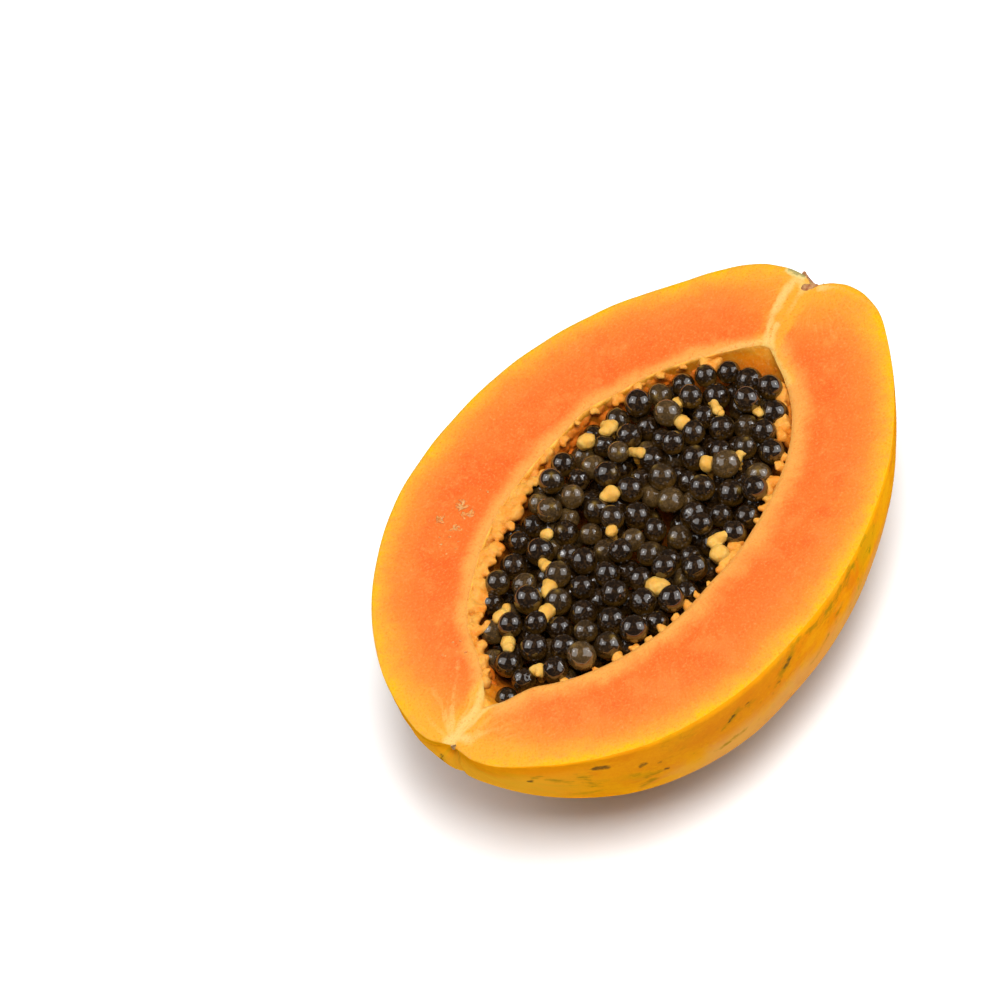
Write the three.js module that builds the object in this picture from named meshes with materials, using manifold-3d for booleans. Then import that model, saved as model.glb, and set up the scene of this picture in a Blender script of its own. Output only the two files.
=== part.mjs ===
import * as THREE from 'three';
import { mergeVertices } from 'three/addons/utils/BufferGeometryUtils.js';
import Module from 'manifold-3d';

// A papaya cut in half lengthwise, lying on its rounded back with the cut face level and up.
// While it is drawn, x runs from the blossom notch (0) to the stem notch, y is 0 on the
// fruit's own axis, and z is 0 on the cut face. All lengths are millimetres.

const FRUIT_LENGTH = 160;          // blossom notch to stem notch, along the axis
const BACK_DEPTH = 0.97;           // depth of the half against its mean half-width
const BACK_FULLNESS = 2.35;        // 2 is an ellipse, more is squarer
const RIB_COUNT = 5;               // one swelling over each of the fruit's five carpels
const RIB_TURN = 0.94;             // where the first groove lies, radians from the right edge
const RIB_HEIGHT = 0.008;          // of the local radius, along the middle of the fruit
const RIB_HEIGHT_ENDS = 0.045;     // and close to both ends
const FLAT_DEPTH = 1.1;            // how much the back is pressed flat where it rests
const SKIN_ROWS = 42;
const SKIN_STEPS = 18;

const CAVITY_DEPTH = 0.98;
const CAVITY_FULLNESS = 2.2;
const CAVITY_ROWS = 34;
const CAVITY_STEPS = 10;
const OPEN_ABOVE = 8;              // the tool that opens the cavity runs this far above the cut

const SCAR_RADIUS = 4.4;           // round scar of the stem, at the bottom of its hollow
const SCAR_START = 155;
const SCAR_END = 161.4;
const TIP_RADIUS = 1.5;            // dried blossom point at the other end
const TIP_REACH = 1.2;

const SEED_RADIUS = 3.25;
const SEED_SPREAD = 0.13;          // seeds differ in size by this share either way
const SEED_COUNT = 100;
const SEED_LEVEL = -2;             // height of the seeds' centres against the cut face
const SEED_UNEVEN = 5;
const SEED_SPACING = 1.07;         // of two radii, so that neighbours stand a little apart
const SEED_LIFT = 0.4;             // share of a push that lifts or sinks a seed
const SEED_RETURN = 0.28;          // share of the way back to its own level in each step
const SETTLE_STEPS = 120;
const SEED_FIRST_X = 19.5;
const SEED_LAST_X = 128;
const LUMP_LEVEL = -2;
const LUMP_HEIGHT = 3.6;
const WALL_ROOM_LEFT = 2.8;        // crumbs of the lining fill this much along the left wall
const WALL_ROOM_RIGHT = 1;
const CORE_TOP = -3.4;
const CLEARANCE = 0.4;             // between the seeds and the fruit

const CRUMBS_LEFT = 32;
const CRUMBS_RIGHT = 14;
const CRUMB_RADIUS = 2.2;

// Half of the cut edge from the blossom notch round to the stem notch: distance along the
// axis and distance from it. Both halves have their points in step.
const RIGHT_EDGE = [
  [0, 0], [-0.7, 3.2], [-1.1, 7], [0.2, 13], [4.2, 20.3], [9.7, 28.4], [17, 36.5], [26, 43.9],
  [38.4, 50.3], [52, 54.6], [66, 56.4], [81, 57], [96, 55.5], [110.5, 52], [123, 47.6],
  [135, 41.3], [146.7, 33.4], [155.5, 26], [161, 20.2], [164.1, 13.9], [164.8, 8.8],
  [163.8, 4.8], [162, 2], [FRUIT_LENGTH, 0],
];
const LEFT_EDGE = [
  [0, 0], [-0.8, 3.4], [-1.4, 7], [-0.1, 12.5], [4.6, 22], [10, 29.8], [18.4, 38.4], [28, 45.6],
  [40.6, 52.2], [54, 56.8], [68, 58.7], [82, 58.7], [97, 56.9], [110, 53.3], [122, 48.1],
  [133.5, 41.2], [143.5, 33], [151.5, 26.4], [157, 20.9], [160.6, 15.6], [162.4, 9.6],
  [162.6, 5.4], [161.9, 2.4], [FRUIT_LENGTH, 0],
];
// The same for the edge of the seed cavity.
const CAVITY_RIGHT = [
  [13.2, 0], [17.2, 3.5], [23, 6.8], [29, 13], [35.4, 18], [42.6, 22.1], [51, 25.5], [60, 27.7],
  [70, 28.6], [80, 29.4], [90, 28.9], [100.5, 27.2], [110, 24.8], [118.6, 21], [126, 16],
  [131.6, 10.4], [135.6, 5.2], [138.3, 1.6], [138.6, 0],
];
const CAVITY_LEFT = [
  [13.2, 0], [18.6, 4.2], [24, 9.2], [30, 16.8], [36.6, 21.8], [44, 25.4], [52, 28.6], [61, 30.9],
  [70, 31.9], [80, 32], [90, 31], [100, 29.8], [108.5, 25.6], [116.6, 21.7], [124, 16.4],
  [130, 10.8], [134.8, 5.8], [137.8, 2], [138.6, 0],
];
// Yellow lumps of lining left standing among the seeds: place, half-length, half-width, turn.
const LUMPS = [
  [113, 10.5, 2.6, 2.1, 0.4], [109, 5.7, 2.8, 2.4, 1.2], [116.5, 0.3, 4.2, 1.9, 1.1],
  [98.4, 21.6, 3.2, 2.2, 0.7], [92.4, 24.6, 2.9, 2.4, 2.4], [101, -7.6, 2.5, 2.4, 0.2],
  [106, -13.1, 2.9, 1.7, 2.9], [81.3, 9.7, 2.8, 2.6, 0.6], [63, 16.5, 2.1, 1.9, 1.9],
  [50.3, 6.7, 4.6, 2.3, 0.5], [43.7, 3, 4.4, 2.4, 0.3], [63.6, -17, 3.2, 3.2, 0],
  [31.8, 6.2, 4.6, 2.3, 0.6], [28.6, -5.5, 2.6, 2.2, 1.4], [83, -22.8, 4.4, 2.1, 2.6],
  [79, -25, 3.1, 2.9, 0.3], [38.5, 12.4, 4.2, 2, 0.1], [95.5, 10.8, 3.3, 1.9, 1.6],
  [72, 2.6, 2.3, 1.8, 0.9], [55.5, 11.2, 3.5, 2, 1.3], [120.5, -9.5, 2.6, 1.8, 0.8],
];

const wasm = await Module();
wasm.setup();

// Repeatable random numbers from 0 to 1.
function makeDraw(start) {
  let state = start >>> 0;
  return () => {
    state = (Math.imul(state, 1664525) + 1013904223) >>> 0;
    return state / 4294967296;
  };
}

function solidOf(geometry) {
  const bare = geometry.index ? geometry : geometry.clone();
  bare.deleteAttribute('normal');
  bare.deleteAttribute('uv');
  const merged = mergeVertices(bare, 1e-4);
  return new wasm.Manifold(new wasm.Mesh({
    numProp: 3,
    vertProperties: new Float32Array(merged.attributes.position.array),
    triVerts: new Uint32Array(merged.index.array),
  }));
}

function geometryOf(solid) {
  const mesh = solid.getMesh();
  const positions = new Float32Array(mesh.numVert * 3);
  for (let v = 0; v < mesh.numVert; v += 1) {
    for (let k = 0; k < 3; k += 1) {
      positions[3 * v + k] = mesh.vertProperties[mesh.numProp * v + k];
    }
  }
  const geometry = new THREE.BufferGeometry();
  geometry.setAttribute('position', new THREE.BufferAttribute(positions, 3));
  geometry.setIndex(Array.from(mesh.triVerts));
  return geometry;
}

function largestPiece(solid) {
  return solid.decompose().reduce((best, piece) => (piece.volume() > best.volume() ? piece : best));
}

function joined(solids) {
  return solids.reduce((whole, solid) => whole.add(solid));
}

function curveOf(points) {
  return new THREE.SplineCurve(points.map(([x, y]) => new THREE.Vector2(x, y)));
}

// One side of an edge, moved inward, with its two tips drawn in along the axis.
function insetEdge(points, room, tipRoom) {
  const last = points.length - 1;
  const from = points[0][0];
  const span = points[last][0] - from;
  return points.map(([x, y], k) => {
    const along = (x - from) / span;
    const inside = k === 0 || k === last ? 0 : Math.max(0.4, y - room * Math.min(1, y / 4));
    return [x + tipRoom * (1 - 2 * along), inside];
  });
}

// A round-backed body under a level outline: rows run from tip to tip, steps run round the
// back from the right edge to the left edge, and the top is closed at z = 0 or higher up.
function roundBack({ right, left, depth, fullness, rows, steps, ribs, pressedBy = 0, top = 0 }) {
  const rightCurve = curveOf(right);
  const leftCurve = curveOf(left);
  const grid = [];
  for (let row = 1; row < rows; row += 1) {
    const t = row / rows;
    const r = rightCurve.getPoint(t);
    const l = leftCurve.getPoint(t);
    const deep = depth * 0.5 * (r.y + l.y);
    const line = [];
    for (let step = 0; step <= steps; step += 1) {
      const angle = (Math.PI * step) / steps;
      const across = Math.cos(angle);
      const share = 0.5 * (1 - across);
      const swell = ribs ? 1 + ribs(t, angle) : 1;
      const reach = Math.abs(across) ** (2 / fullness) * (across > 0 ? -r.y : l.y);
      const drop = step === 0 || step === steps ? 0 : Math.sin(angle) ** (2 / fullness);
      line.push([r.x + (l.x - r.x) * share, reach * swell, -deep * drop * swell]);
    }
    grid.push(line);
  }
  const lowest = Math.min(...grid.flat().map((p) => p[2]));
  for (const p of grid.flat()) p[2] = Math.max(p[2], lowest + pressedBy);

  const positions = [];
  const faces = [];
  const start = right[0];
  const end = right[right.length - 1];
  positions.push([start[0], 0, 0], [end[0], 0, 0]);
  const id = grid.map((line) => line.map((p) => positions.push(p) - 1));
  for (let step = 0; step < steps; step += 1) {
    faces.push([0, id[0][step + 1], id[0][step]]);
    const tail = id[id.length - 1];
    faces.push([1, tail[step], tail[step + 1]]);
    for (let row = 0; row + 1 < id.length; row += 1) {
      const a = id[row][step];
      const b = id[row + 1][step];
      const c = id[row + 1][step + 1];
      const d = id[row][step + 1];
      faces.push([a, d, c], [a, c, b]);
    }
  }
  const rim = [0, ...id.map((line) => line[0]), 1, ...id.map((line) => line[steps]).reverse()];
  let lid = rim;
  if (top > 0) {
    lid = rim.map((k) => positions.push([positions[k][0], positions[k][1], top]) - 1);
    rim.forEach((k, n) => {
      const m = (n + 1) % rim.length;
      faces.push([k, rim[m], lid[m]], [k, lid[m], lid[n]]);
    });
  }
  const flat = lid.map((k) => new THREE.Vector2(positions[k][0], positions[k][1]));
  for (const [a, b, c] of THREE.ShapeUtils.triangulateShape(flat, [])) {
    faces.push([lid[a], lid[b], lid[c]]);
  }
  const geometry = new THREE.BufferGeometry();
  geometry.setAttribute('position', new THREE.Float32BufferAttribute(positions.flat(), 3));
  geometry.setIndex(faces.flat());
  return solidOf(geometry);
}

// Lobes over the carpels: faint along the middle, clear where they gather at the two ends,
// and nothing at the cut edge itself.
function carpelSwelling(t, angle) {
  const end = Math.min(1, Math.max(0, (Math.abs(t - 0.5) - 0.3) / 0.14));
  const height = RIB_HEIGHT + (RIB_HEIGHT_ENDS - RIB_HEIGHT) * end * end * (3 - 2 * end);
  const wave = -Math.cos(RIB_COUNT * (angle - RIB_TURN));
  return height * wave * Math.min(1, 2.2 * Math.sin(angle));
}

// Half-widths of the cavity at a place along the axis, read off its two edges.
function widthsAlong(points) {
  const curve = curveOf(points);
  const samples = [];
  for (let k = 0; k <= 160; k += 1) samples.push(curve.getPoint(k / 160));
  return (x) => {
    for (let k = 1; k < samples.length; k += 1) {
      if (samples[k].x >= x) {
        const a = samples[k - 1];
        const b = samples[k];
        const share = (x - a.x) / Math.max(1e-9, b.x - a.x);
        return { y: a.y + (b.y - a.y) * share, slope: (b.y - a.y) / Math.max(1e-9, b.x - a.x) };
      }
    }
    return { y: 0, slope: 0 };
  };
}

// Seeds are strewn over the cavity and then settle: they push each other aside, and away
// from the lumps, until each has room, and they stay within the walls.
function settledSeeds() {
  const draw = makeDraw(20771);
  const rightWall = widthsAlong(CAVITY_RIGHT);
  const leftWall = widthsAlong(CAVITY_LEFT);
  const seeds = [];
  while (seeds.length < SEED_COUNT) {
    const x = SEED_FIRST_X + (SEED_LAST_X - SEED_FIRST_X) * draw();
    const y = -30 + 62 * draw();
    const radius = SEED_RADIUS * (1 + SEED_SPREAD * (2 * draw() - 1));
    const level = SEED_LEVEL + SEED_UNEVEN * (draw() - 0.5);
    if (y > -rightWall(x).y + 2 && y < leftWall(x).y - 3) {
      seeds.push({ x, y, z: level, level, radius });
    }
  }
  for (let round = 0; round < SETTLE_STEPS; round += 1) {
    for (let a = 0; a < seeds.length; a += 1) {
      const p = seeds[a];
      for (let b = a + 1; b < seeds.length; b += 1) {
        const q = seeds[b];
        const dx = q.x - p.x;
        const dy = q.y - p.y;
        const dz = q.z - p.z;
        const apart = Math.sqrt(dx * dx + dy * dy + dz * dz);
        const short = SEED_SPACING * (p.radius + q.radius) - apart;
        if (short > 0 && apart > 1e-6) {
          const push = (0.45 * short) / apart;
          p.x -= dx * push; p.y -= dy * push; p.z -= SEED_LIFT * dz * push;
          q.x += dx * push; q.y += dy * push; q.z += SEED_LIFT * dz * push;
        }
      }
      for (const [lx, ly, , half] of LUMPS) {
        const dx = p.x - lx;
        const dy = p.y - ly;
        const apart = Math.sqrt(dx * dx + dy * dy);
        const short = half + 0.62 * p.radius - apart;
        if (short > 0 && apart > 1e-6) {
          p.x += (0.5 * dx * short) / apart;
          p.y += (0.5 * dy * short) / apart;
        }
      }
      p.z += SEED_RETURN * (p.level - p.z);
      p.x = Math.min(SEED_LAST_X, Math.max(SEED_FIRST_X, p.x));
      const onRight = rightWall(p.x);
      const onLeft = leftWall(p.x);
      const low = -onRight.y + (p.radius + WALL_ROOM_RIGHT) * Math.sqrt(1 + onRight.slope ** 2);
      const high = onLeft.y - (p.radius + WALL_ROOM_LEFT) * Math.sqrt(1 + onLeft.slope ** 2);
      p.y = low < high ? Math.min(high, Math.max(low, p.y)) : 0.5 * (low + high);
    }
  }
  return seeds;
}

function ball(radius, { x, y, z }, stretch = [1, 1, 1], turn = 0, plain = false) {
  const geometry = plain ? new THREE.OctahedronGeometry(radius, 1)
    : new THREE.SphereGeometry(radius, 8, 5).rotateX(Math.PI / 2);
  geometry.scale(...stretch);
  geometry.rotateZ(turn);
  geometry.translate(x, y, z);
  return solidOf(geometry);
}

// A crumb of torn lining: a small rough lump with few faces.
function crumb(radius, place, draw) {
  const geometry = new THREE.OctahedronGeometry(radius, 1);
  geometry.deleteAttribute('normal');
  geometry.deleteAttribute('uv');
  const lump = mergeVertices(geometry, 1e-4);
  const positions = lump.attributes.position;
  for (let v = 0; v < positions.count; v += 1) {
    const size = 0.82 + 0.36 * draw();
    positions.setXYZ(v, positions.getX(v) * size, positions.getY(v) * size, positions.getZ(v) * size);
  }
  lump.rotateZ(6.28 * draw());
  lump.translate(place.x, place.y, place.z);
  return solidOf(lump);
}

const seeds = settledSeeds();

// The lumps stand as tall as the seeds, with their feet in the mass below.
function lumpsAmongSeeds(room = 0) {
  return LUMPS.map(([x, y, long, wide, turn]) => ball(1, { x, y, z: LUMP_LEVEL },
    [long + room, wide + room, LUMP_HEIGHT + room], turn, true));
}

function seedCore(shrink) {
  return roundBack({
    right: insetEdge(CAVITY_RIGHT, 1.4 + shrink, 4 + shrink),
    left: insetEdge(CAVITY_LEFT, 3 + shrink, 4 + shrink),
    depth: CAVITY_DEPTH,
    fullness: CAVITY_FULLNESS,
    rows: 26,
    steps: 8,
  }).subtract(solidOf(new THREE.BoxGeometry(200, 120, 20).translate(76, 0, CORE_TOP + 10)));
}

function makeSeeds() {
  const walls = roundBack({
    right: insetEdge(CAVITY_RIGHT, CLEARANCE, 1),
    left: insetEdge(CAVITY_LEFT, CLEARANCE, 1),
    depth: CAVITY_DEPTH,
    fullness: CAVITY_FULLNESS,
    rows: CAVITY_ROWS,
    steps: CAVITY_STEPS,
    top: OPEN_ABOVE,
  });
  const turns = makeDraw(515);
  const berries = seeds.map((s) => ball(s.radius, s, [1, 1, 0.96], 6.28 * turns()));
  return largestPiece(joined([seedCore(0), ...berries, ...lumpsAmongSeeds()]).intersect(walls));
}

// Room that the seeds take up, a little larger than they are.
function seedRoom() {
  const grown = seeds.map((s) => ball(s.radius + 1.15 * CLEARANCE, s));
  return joined([seedCore(-CLEARANCE).translate([0, 0, CLEARANCE]), ...grown,
    ...lumpsAmongSeeds(1.3 * CLEARANCE)]);
}

// Torn lining along the walls: thick on the left, sparser on the right.
function wallCrumbs() {
  const draw = makeDraw(9043);
  const crumbs = [];
  for (const [points, side, count, first, last] of [
    [CAVITY_LEFT, 1, CRUMBS_LEFT, 0.06, 0.9],
    [CAVITY_RIGHT, -1, CRUMBS_RIGHT, 0.12, 0.95],
  ]) {
    const curve = curveOf(points);
    for (let k = 0; k < count; k += 1) {
      const t = first + ((last - first) * (k + draw())) / count;
      const p = curve.getPoint(t);
      const along = curve.getTangent(t);
      const radius = CRUMB_RADIUS * (0.65 + 0.75 * draw());
      const inward = radius * (0.15 + 0.5 * draw());
      const z = -0.75 * radius - 3.6 * draw() ** 1.4;
      crumbs.push(crumb(radius, {
        x: p.x + along.y * inward,
        y: side * (p.y - along.x * inward),
        z,
      }, draw));
    }
  }
  return joined(crumbs);
}

function makeFruit() {
  const body = roundBack({
    right: RIGHT_EDGE,
    left: LEFT_EDGE,
    depth: BACK_DEPTH,
    fullness: BACK_FULLNESS,
    rows: SKIN_ROWS,
    steps: SKIN_STEPS,
    ribs: carpelSwelling,
    pressedBy: FLAT_DEPTH,
  });
  const scar = solidOf(new THREE.LatheGeometry([
    new THREE.Vector2(0, SCAR_START), new THREE.Vector2(SCAR_RADIUS, SCAR_START),
    new THREE.Vector2(SCAR_RADIUS, SCAR_END - 0.8), new THREE.Vector2(0.72 * SCAR_RADIUS, SCAR_END),
    new THREE.Vector2(0.5 * SCAR_RADIUS, SCAR_END - 0.5), new THREE.Vector2(0, SCAR_END - 0.2),
  ], 18).rotateZ(-Math.PI / 2));
  const tip = ball(TIP_RADIUS, { x: 0.4, y: 0, z: 0 }, [TIP_REACH, 1, 1]);
  const aboveCut = solidOf(new THREE.BoxGeometry(240, 160, 40).translate(80, 0, 20));
  const cavity = roundBack({
    right: CAVITY_RIGHT,
    left: CAVITY_LEFT,
    depth: CAVITY_DEPTH,
    fullness: CAVITY_FULLNESS,
    rows: CAVITY_ROWS,
    steps: CAVITY_STEPS,
    top: OPEN_ABOVE,
  });
  const crumbs = wallCrumbs().subtract(seedRoom());
  return largestPiece(body.add(scar).add(tip).subtract(aboveCut).subtract(cavity)
    .add(crumbs.subtract(aboveCut)));
}

const fruitSolid = makeFruit();
const seedSolid = makeSeeds();
const fruitGeometry = geometryOf(fruitSolid);
const seedGeometry = geometryOf(seedSolid);

// The finished part stands on z = 0, in the middle of its own box.
const box = new THREE.Box3().setFromBufferAttribute(fruitGeometry.attributes.position);
const middle = box.getCenter(new THREE.Vector3());

const flesh = new THREE.MeshStandardMaterial({ color: 0xf28a45, roughness: 0.45, metalness: 0 });
const seedCoat = new THREE.MeshStandardMaterial({ color: 0x2a2018, roughness: 0.25, metalness: 0 });

const fruitHalf = new THREE.Mesh(fruitGeometry, flesh);
fruitHalf.name = 'fruit_half';
const seedMass = new THREE.Mesh(seedGeometry, seedCoat);
seedMass.name = 'seeds';
for (const mesh of [fruitHalf, seedMass]) mesh.position.set(-middle.x, -middle.y, -box.min.z);

const group = new THREE.Group();
group.add(fruitHalf, seedMass);

export default group;
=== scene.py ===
import math

import bmesh
import bpy
import numpy as np
from mathutils import Matrix, Vector


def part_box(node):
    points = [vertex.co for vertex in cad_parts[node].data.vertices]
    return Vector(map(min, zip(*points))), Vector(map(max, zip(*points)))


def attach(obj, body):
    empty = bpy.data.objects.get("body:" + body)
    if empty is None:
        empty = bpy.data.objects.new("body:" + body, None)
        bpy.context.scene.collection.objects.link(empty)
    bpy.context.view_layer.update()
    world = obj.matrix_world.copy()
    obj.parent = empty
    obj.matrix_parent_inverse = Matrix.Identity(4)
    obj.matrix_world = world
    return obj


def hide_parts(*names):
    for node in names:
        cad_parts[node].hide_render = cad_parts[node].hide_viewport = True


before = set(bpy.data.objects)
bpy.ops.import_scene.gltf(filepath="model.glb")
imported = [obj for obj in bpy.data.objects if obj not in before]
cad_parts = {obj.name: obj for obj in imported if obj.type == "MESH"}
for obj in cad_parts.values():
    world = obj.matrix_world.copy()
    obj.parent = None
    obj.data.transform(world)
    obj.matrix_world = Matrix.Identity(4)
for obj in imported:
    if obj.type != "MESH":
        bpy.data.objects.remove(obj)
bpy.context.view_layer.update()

# A papaya half on its rounded back. Lengths are millimetres until a mesh is made: x runs from the
# blossom notch to the stem notch, y is 0 on the fruit's axis and z is 0 on the cut face.
MM = 0.001
MIDDLE = np.array([81.73, 0.953, 0.0])
CUT_HEIGHT = 1000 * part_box("fruit_half")[1].z
STEM_NOTCH = 160
FRUIT_MIDDLE = np.array([81, 0, 0])
CAVITY_MIDDLE = np.array([76, 0, 4])
FULL_TURN = 6.28

# The rounded back under the cut: its depth against its half-width, how full it is, and weak ribs.
BACK_DEPTH = 0.97
BACK_FULLNESS = 2.35
RIB_COUNT = 5
RIB_TURN = 0.94
RIB_HEIGHT = 0.008
RIB_HEIGHT_ENDS = 0.045
CAVITY_DEPTH = 0.98
CAVITY_FULLNESS = 2.2

# Outlines on the cut face, from notch to notch and from tip to tip of the cavity.
RIGHT_EDGE = [
    (0, 0), (-0.7, 3.2), (-1.1, 7), (0.2, 13), (4.2, 20.3), (9.7, 28.4), (17, 36.5), (26, 43.9),
    (38.4, 50.3), (52, 54.6), (66, 56.4), (81, 57), (96, 55.5), (110.5, 52), (123, 47.6),
    (135, 41.3), (146.7, 33.4), (155.5, 26), (161, 20.2), (164.1, 13.9), (164.8, 8.8),
    (163.8, 4.8), (162, 2), (160, 0)]
LEFT_EDGE = [
    (0, 0), (-0.8, 3.4), (-1.4, 7), (-0.1, 12.5), (4.6, 22), (10, 29.8), (18.4, 38.4), (28, 45.6),
    (40.6, 52.2), (54, 56.8), (68, 58.7), (82, 58.7), (97, 56.9), (110, 53.3), (122, 48.1),
    (133.5, 41.2), (143.5, 33), (151.5, 26.4), (157, 20.9), (160.6, 15.6), (162.4, 9.6),
    (162.6, 5.4), (161.9, 2.4), (160, 0)]
CAVITY_RIGHT = [
    (13.2, 0), (17.2, 3.5), (23, 6.8), (29, 13), (35.4, 18), (42.6, 22.1), (51, 25.5), (60, 27.7),
    (70, 28.6), (80, 29.4), (90, 28.9), (100.5, 27.2), (110, 24.8), (118.6, 21), (126, 16),
    (131.6, 10.4), (135.6, 5.2), (138.3, 1.6), (138.6, 0)]
CAVITY_LEFT = [
    (13.2, 0), (18.6, 4.2), (24, 9.2), (30, 16.8), (36.6, 21.8), (44, 25.4), (52, 28.6), (61, 30.9),
    (70, 31.9), (80, 32), (90, 31), (100, 29.8), (108.5, 25.6), (116.6, 21.7), (124, 16.4),
    (130, 10.8), (134.8, 5.8), (137.8, 2), (138.6, 0)]
# Yellow lumps of lining among the seeds: place, half-length, half-width, turn.
LUMPS = [
    (113, 10.5, 2.6, 2.1, 0.4), (109, 5.7, 2.8, 2.4, 1.2), (116.5, 0.3, 4.2, 1.9, 1.1),
    (98.4, 21.6, 3.2, 2.2, 0.7), (92.4, 24.6, 2.9, 2.4, 2.4), (101, -7.6, 2.5, 2.4, 0.2),
    (106, -13.1, 2.9, 1.7, 2.9), (81.3, 9.7, 2.8, 2.6, 0.6), (63, 16.5, 2.1, 1.9, 1.9),
    (50.3, 6.7, 4.6, 2.3, 0.5), (43.7, 3, 4.4, 2.4, 0.3), (63.6, -17, 3.2, 3.2, 0),
    (31.8, 6.2, 4.6, 2.3, 0.6), (28.6, -5.5, 2.6, 2.2, 1.4), (83, -22.8, 4.4, 2.1, 2.6),
    (79, -25, 3.1, 2.9, 0.3), (38.5, 12.4, 4.2, 2, 0.1), (95.5, 10.8, 3.3, 1.9, 1.6),
    (72, 2.6, 2.3, 1.8, 0.9), (55.5, 11.2, 3.5, 2, 1.3), (120.5, -9.5, 2.6, 1.8, 0.8)]

# Seeds are strewn over the cavity and push each other aside until each has room.
SEED_RADIUS = 3.25
SEED_SPREAD = 0.13
SEED_COUNT = 100
SEED_LEVEL = -2
SEED_UNEVEN = 5
SEED_SPACING = 1.07
SEED_LIFT = 0.4
SEED_RETURN = 0.28
SETTLE_STEPS = 120
SEED_FIRST_X = 19.5
SEED_LAST_X = 128
WALL_ROOM_LEFT = 2.8
WALL_ROOM_RIGHT = 1


# Drawing helpers

def make_draw(start):
    """Repeatable random numbers from 0 to 1."""
    state = [start]

    def draw():
        state[0] = (state[0] * 1664525 + 1013904223) & 0xFFFFFFFF
        return state[0] / 4294967296
    return draw


def along_edge(points, t):
    """Points of a smooth curve through an edge's points, at shares t of the way."""
    p = np.array(points, float)
    place = np.clip(np.asarray(t, float), 0, 1) * (len(p) - 1)
    k = np.minimum(place.astype(int), len(p) - 1)
    w = (place - k)[..., None]
    last = len(p) - 1
    p0, p1 = p[np.where(k == 0, 0, k - 1)], p[k]
    p2, p3 = p[np.minimum(k + 1, last)], p[np.where(k > last - 2, last, k + 2)]
    v0, v1 = (p2 - p0) * 0.5, (p3 - p1) * 0.5
    return (2 * p1 - 2 * p2 + v0 + v1) * w ** 3 + (-3 * p1 + 3 * p2 - 2 * v0 - v1) * w ** 2 + v0 * w + p1


def fade(x, low, high):
    """0 below low, 1 above high, smooth between."""
    s = np.clip((np.asarray(x, float) - low) / (high - low), 0, 1)
    return s * s * (3 - 2 * s)


def corner_value(cell):
    """A repeatable number from -1 to 1 for each corner of a lattice."""
    mixed = (cell[:, 0] * 73856093) ^ (cell[:, 1] * 19349663) ^ (cell[:, 2] * 83492791)
    mixed = (mixed ^ (mixed >> 13)) * 1274126177 & 0x7FFFFFFF
    return ((mixed ^ (mixed >> 16)) & 0xFFFFFF) / 8388607.5 - 1


def cloud(points, size, shift=0.0, octaves=3):
    """Soft noise from about -1 to 1 at each point, with lumps of the given size."""
    place = np.asarray(points, float) / size + shift
    total, height = 0.0, 1.0
    for _ in range(octaves):
        cell = np.floor(place).astype(np.int64)
        part = place - cell
        part = part * part * (3 - 2 * part)
        for dx in (0, 1):
            for dy in (0, 1):
                for dz in (0, 1):
                    weight = (np.where(dx, part[:, 0], 1 - part[:, 0])
                              * np.where(dy, part[:, 1], 1 - part[:, 1])
                              * np.where(dz, part[:, 2], 1 - part[:, 2]))
                    total = total + height * weight * corner_value(cell + (dx, dy, dz))
        place, height = place * 2.03 + 11.7, height * 0.55
    return total


def round_back(right, left, depth, fullness, rows, steps, ribs=False):
    """Grid of points on a rounded back under a level outline, rows from tip to tip."""
    t = np.linspace(0, 1, rows + 1)[:, None]
    angle = np.linspace(0, math.pi, steps + 1)[None, :]
    r, l = along_edge(right, t[:, 0])[:, None, :], along_edge(left, t[:, 0])[:, None, :]
    across = np.cos(angle)
    swell = np.ones((rows + 1, steps + 1))
    if ribs:
        end = fade(np.abs(t - 0.5), 0.3, 0.44)
        height = RIB_HEIGHT + (RIB_HEIGHT_ENDS - RIB_HEIGHT) * end
        wave = -np.cos(RIB_COUNT * (angle - RIB_TURN))
        swell = 1 + height * wave * np.minimum(1, 2.2 * np.sin(angle))
    share = 0.5 * (1 - across)
    x = r[..., 0] + (l[..., 0] - r[..., 0]) * share
    reach = np.abs(across) ** (2 / fullness) * np.where(across > 0, -r[..., 1], l[..., 1])
    drop = np.clip(np.sin(angle), 0, 1) ** (2 / fullness)
    drop[:, 0] = drop[:, -1] = 0
    z = -depth * 0.5 * (r[..., 1] + l[..., 1]) * drop * swell
    return np.stack([x, reach * swell, z], -1)


def grid_faces(rows, columns, start=0, flip=False):
    """Four-sided faces between neighbouring points of a grid."""
    a = (np.arange(rows - 1)[:, None] * columns + np.arange(columns - 1)[None, :]).ravel() + start
    quad = np.stack([a, a + 1, a + columns + 1, a + columns], -1)
    return quad[:, ::-1] if flip else quad


def to_part(points):
    """Millimetres on the drawing to metres in the part's frame."""
    return (np.asarray(points, float) - MIDDLE + np.array([0, 0, CUT_HEIGHT])) * MM


def make_piece(name, points, faces):
    """A mesh object from drawing points in millimetres."""
    mesh = bpy.data.meshes.new(name)
    mesh.from_pydata(to_part(points).tolist(), [], [list(map(int, f)) for f in faces])
    piece = bpy.data.objects.new(name, mesh)
    bpy.context.scene.collection.objects.link(piece)
    mesh.shade_smooth()
    return piece


def apply_modifier(piece, kind, **settings):
    """Adds one modifier and keeps its result as the piece's mesh."""
    modifier = piece.modifiers.new(kind.title(), kind)
    for key, value in settings.items():
        setattr(modifier, key, value)
    seen = bpy.context.evaluated_depsgraph_get()
    made = bpy.data.meshes.new_from_object(piece.evaluated_get(seen))
    piece.modifiers.clear()
    old = piece.data
    piece.data = made
    made.name = piece.name
    bpy.data.meshes.remove(old)


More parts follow.
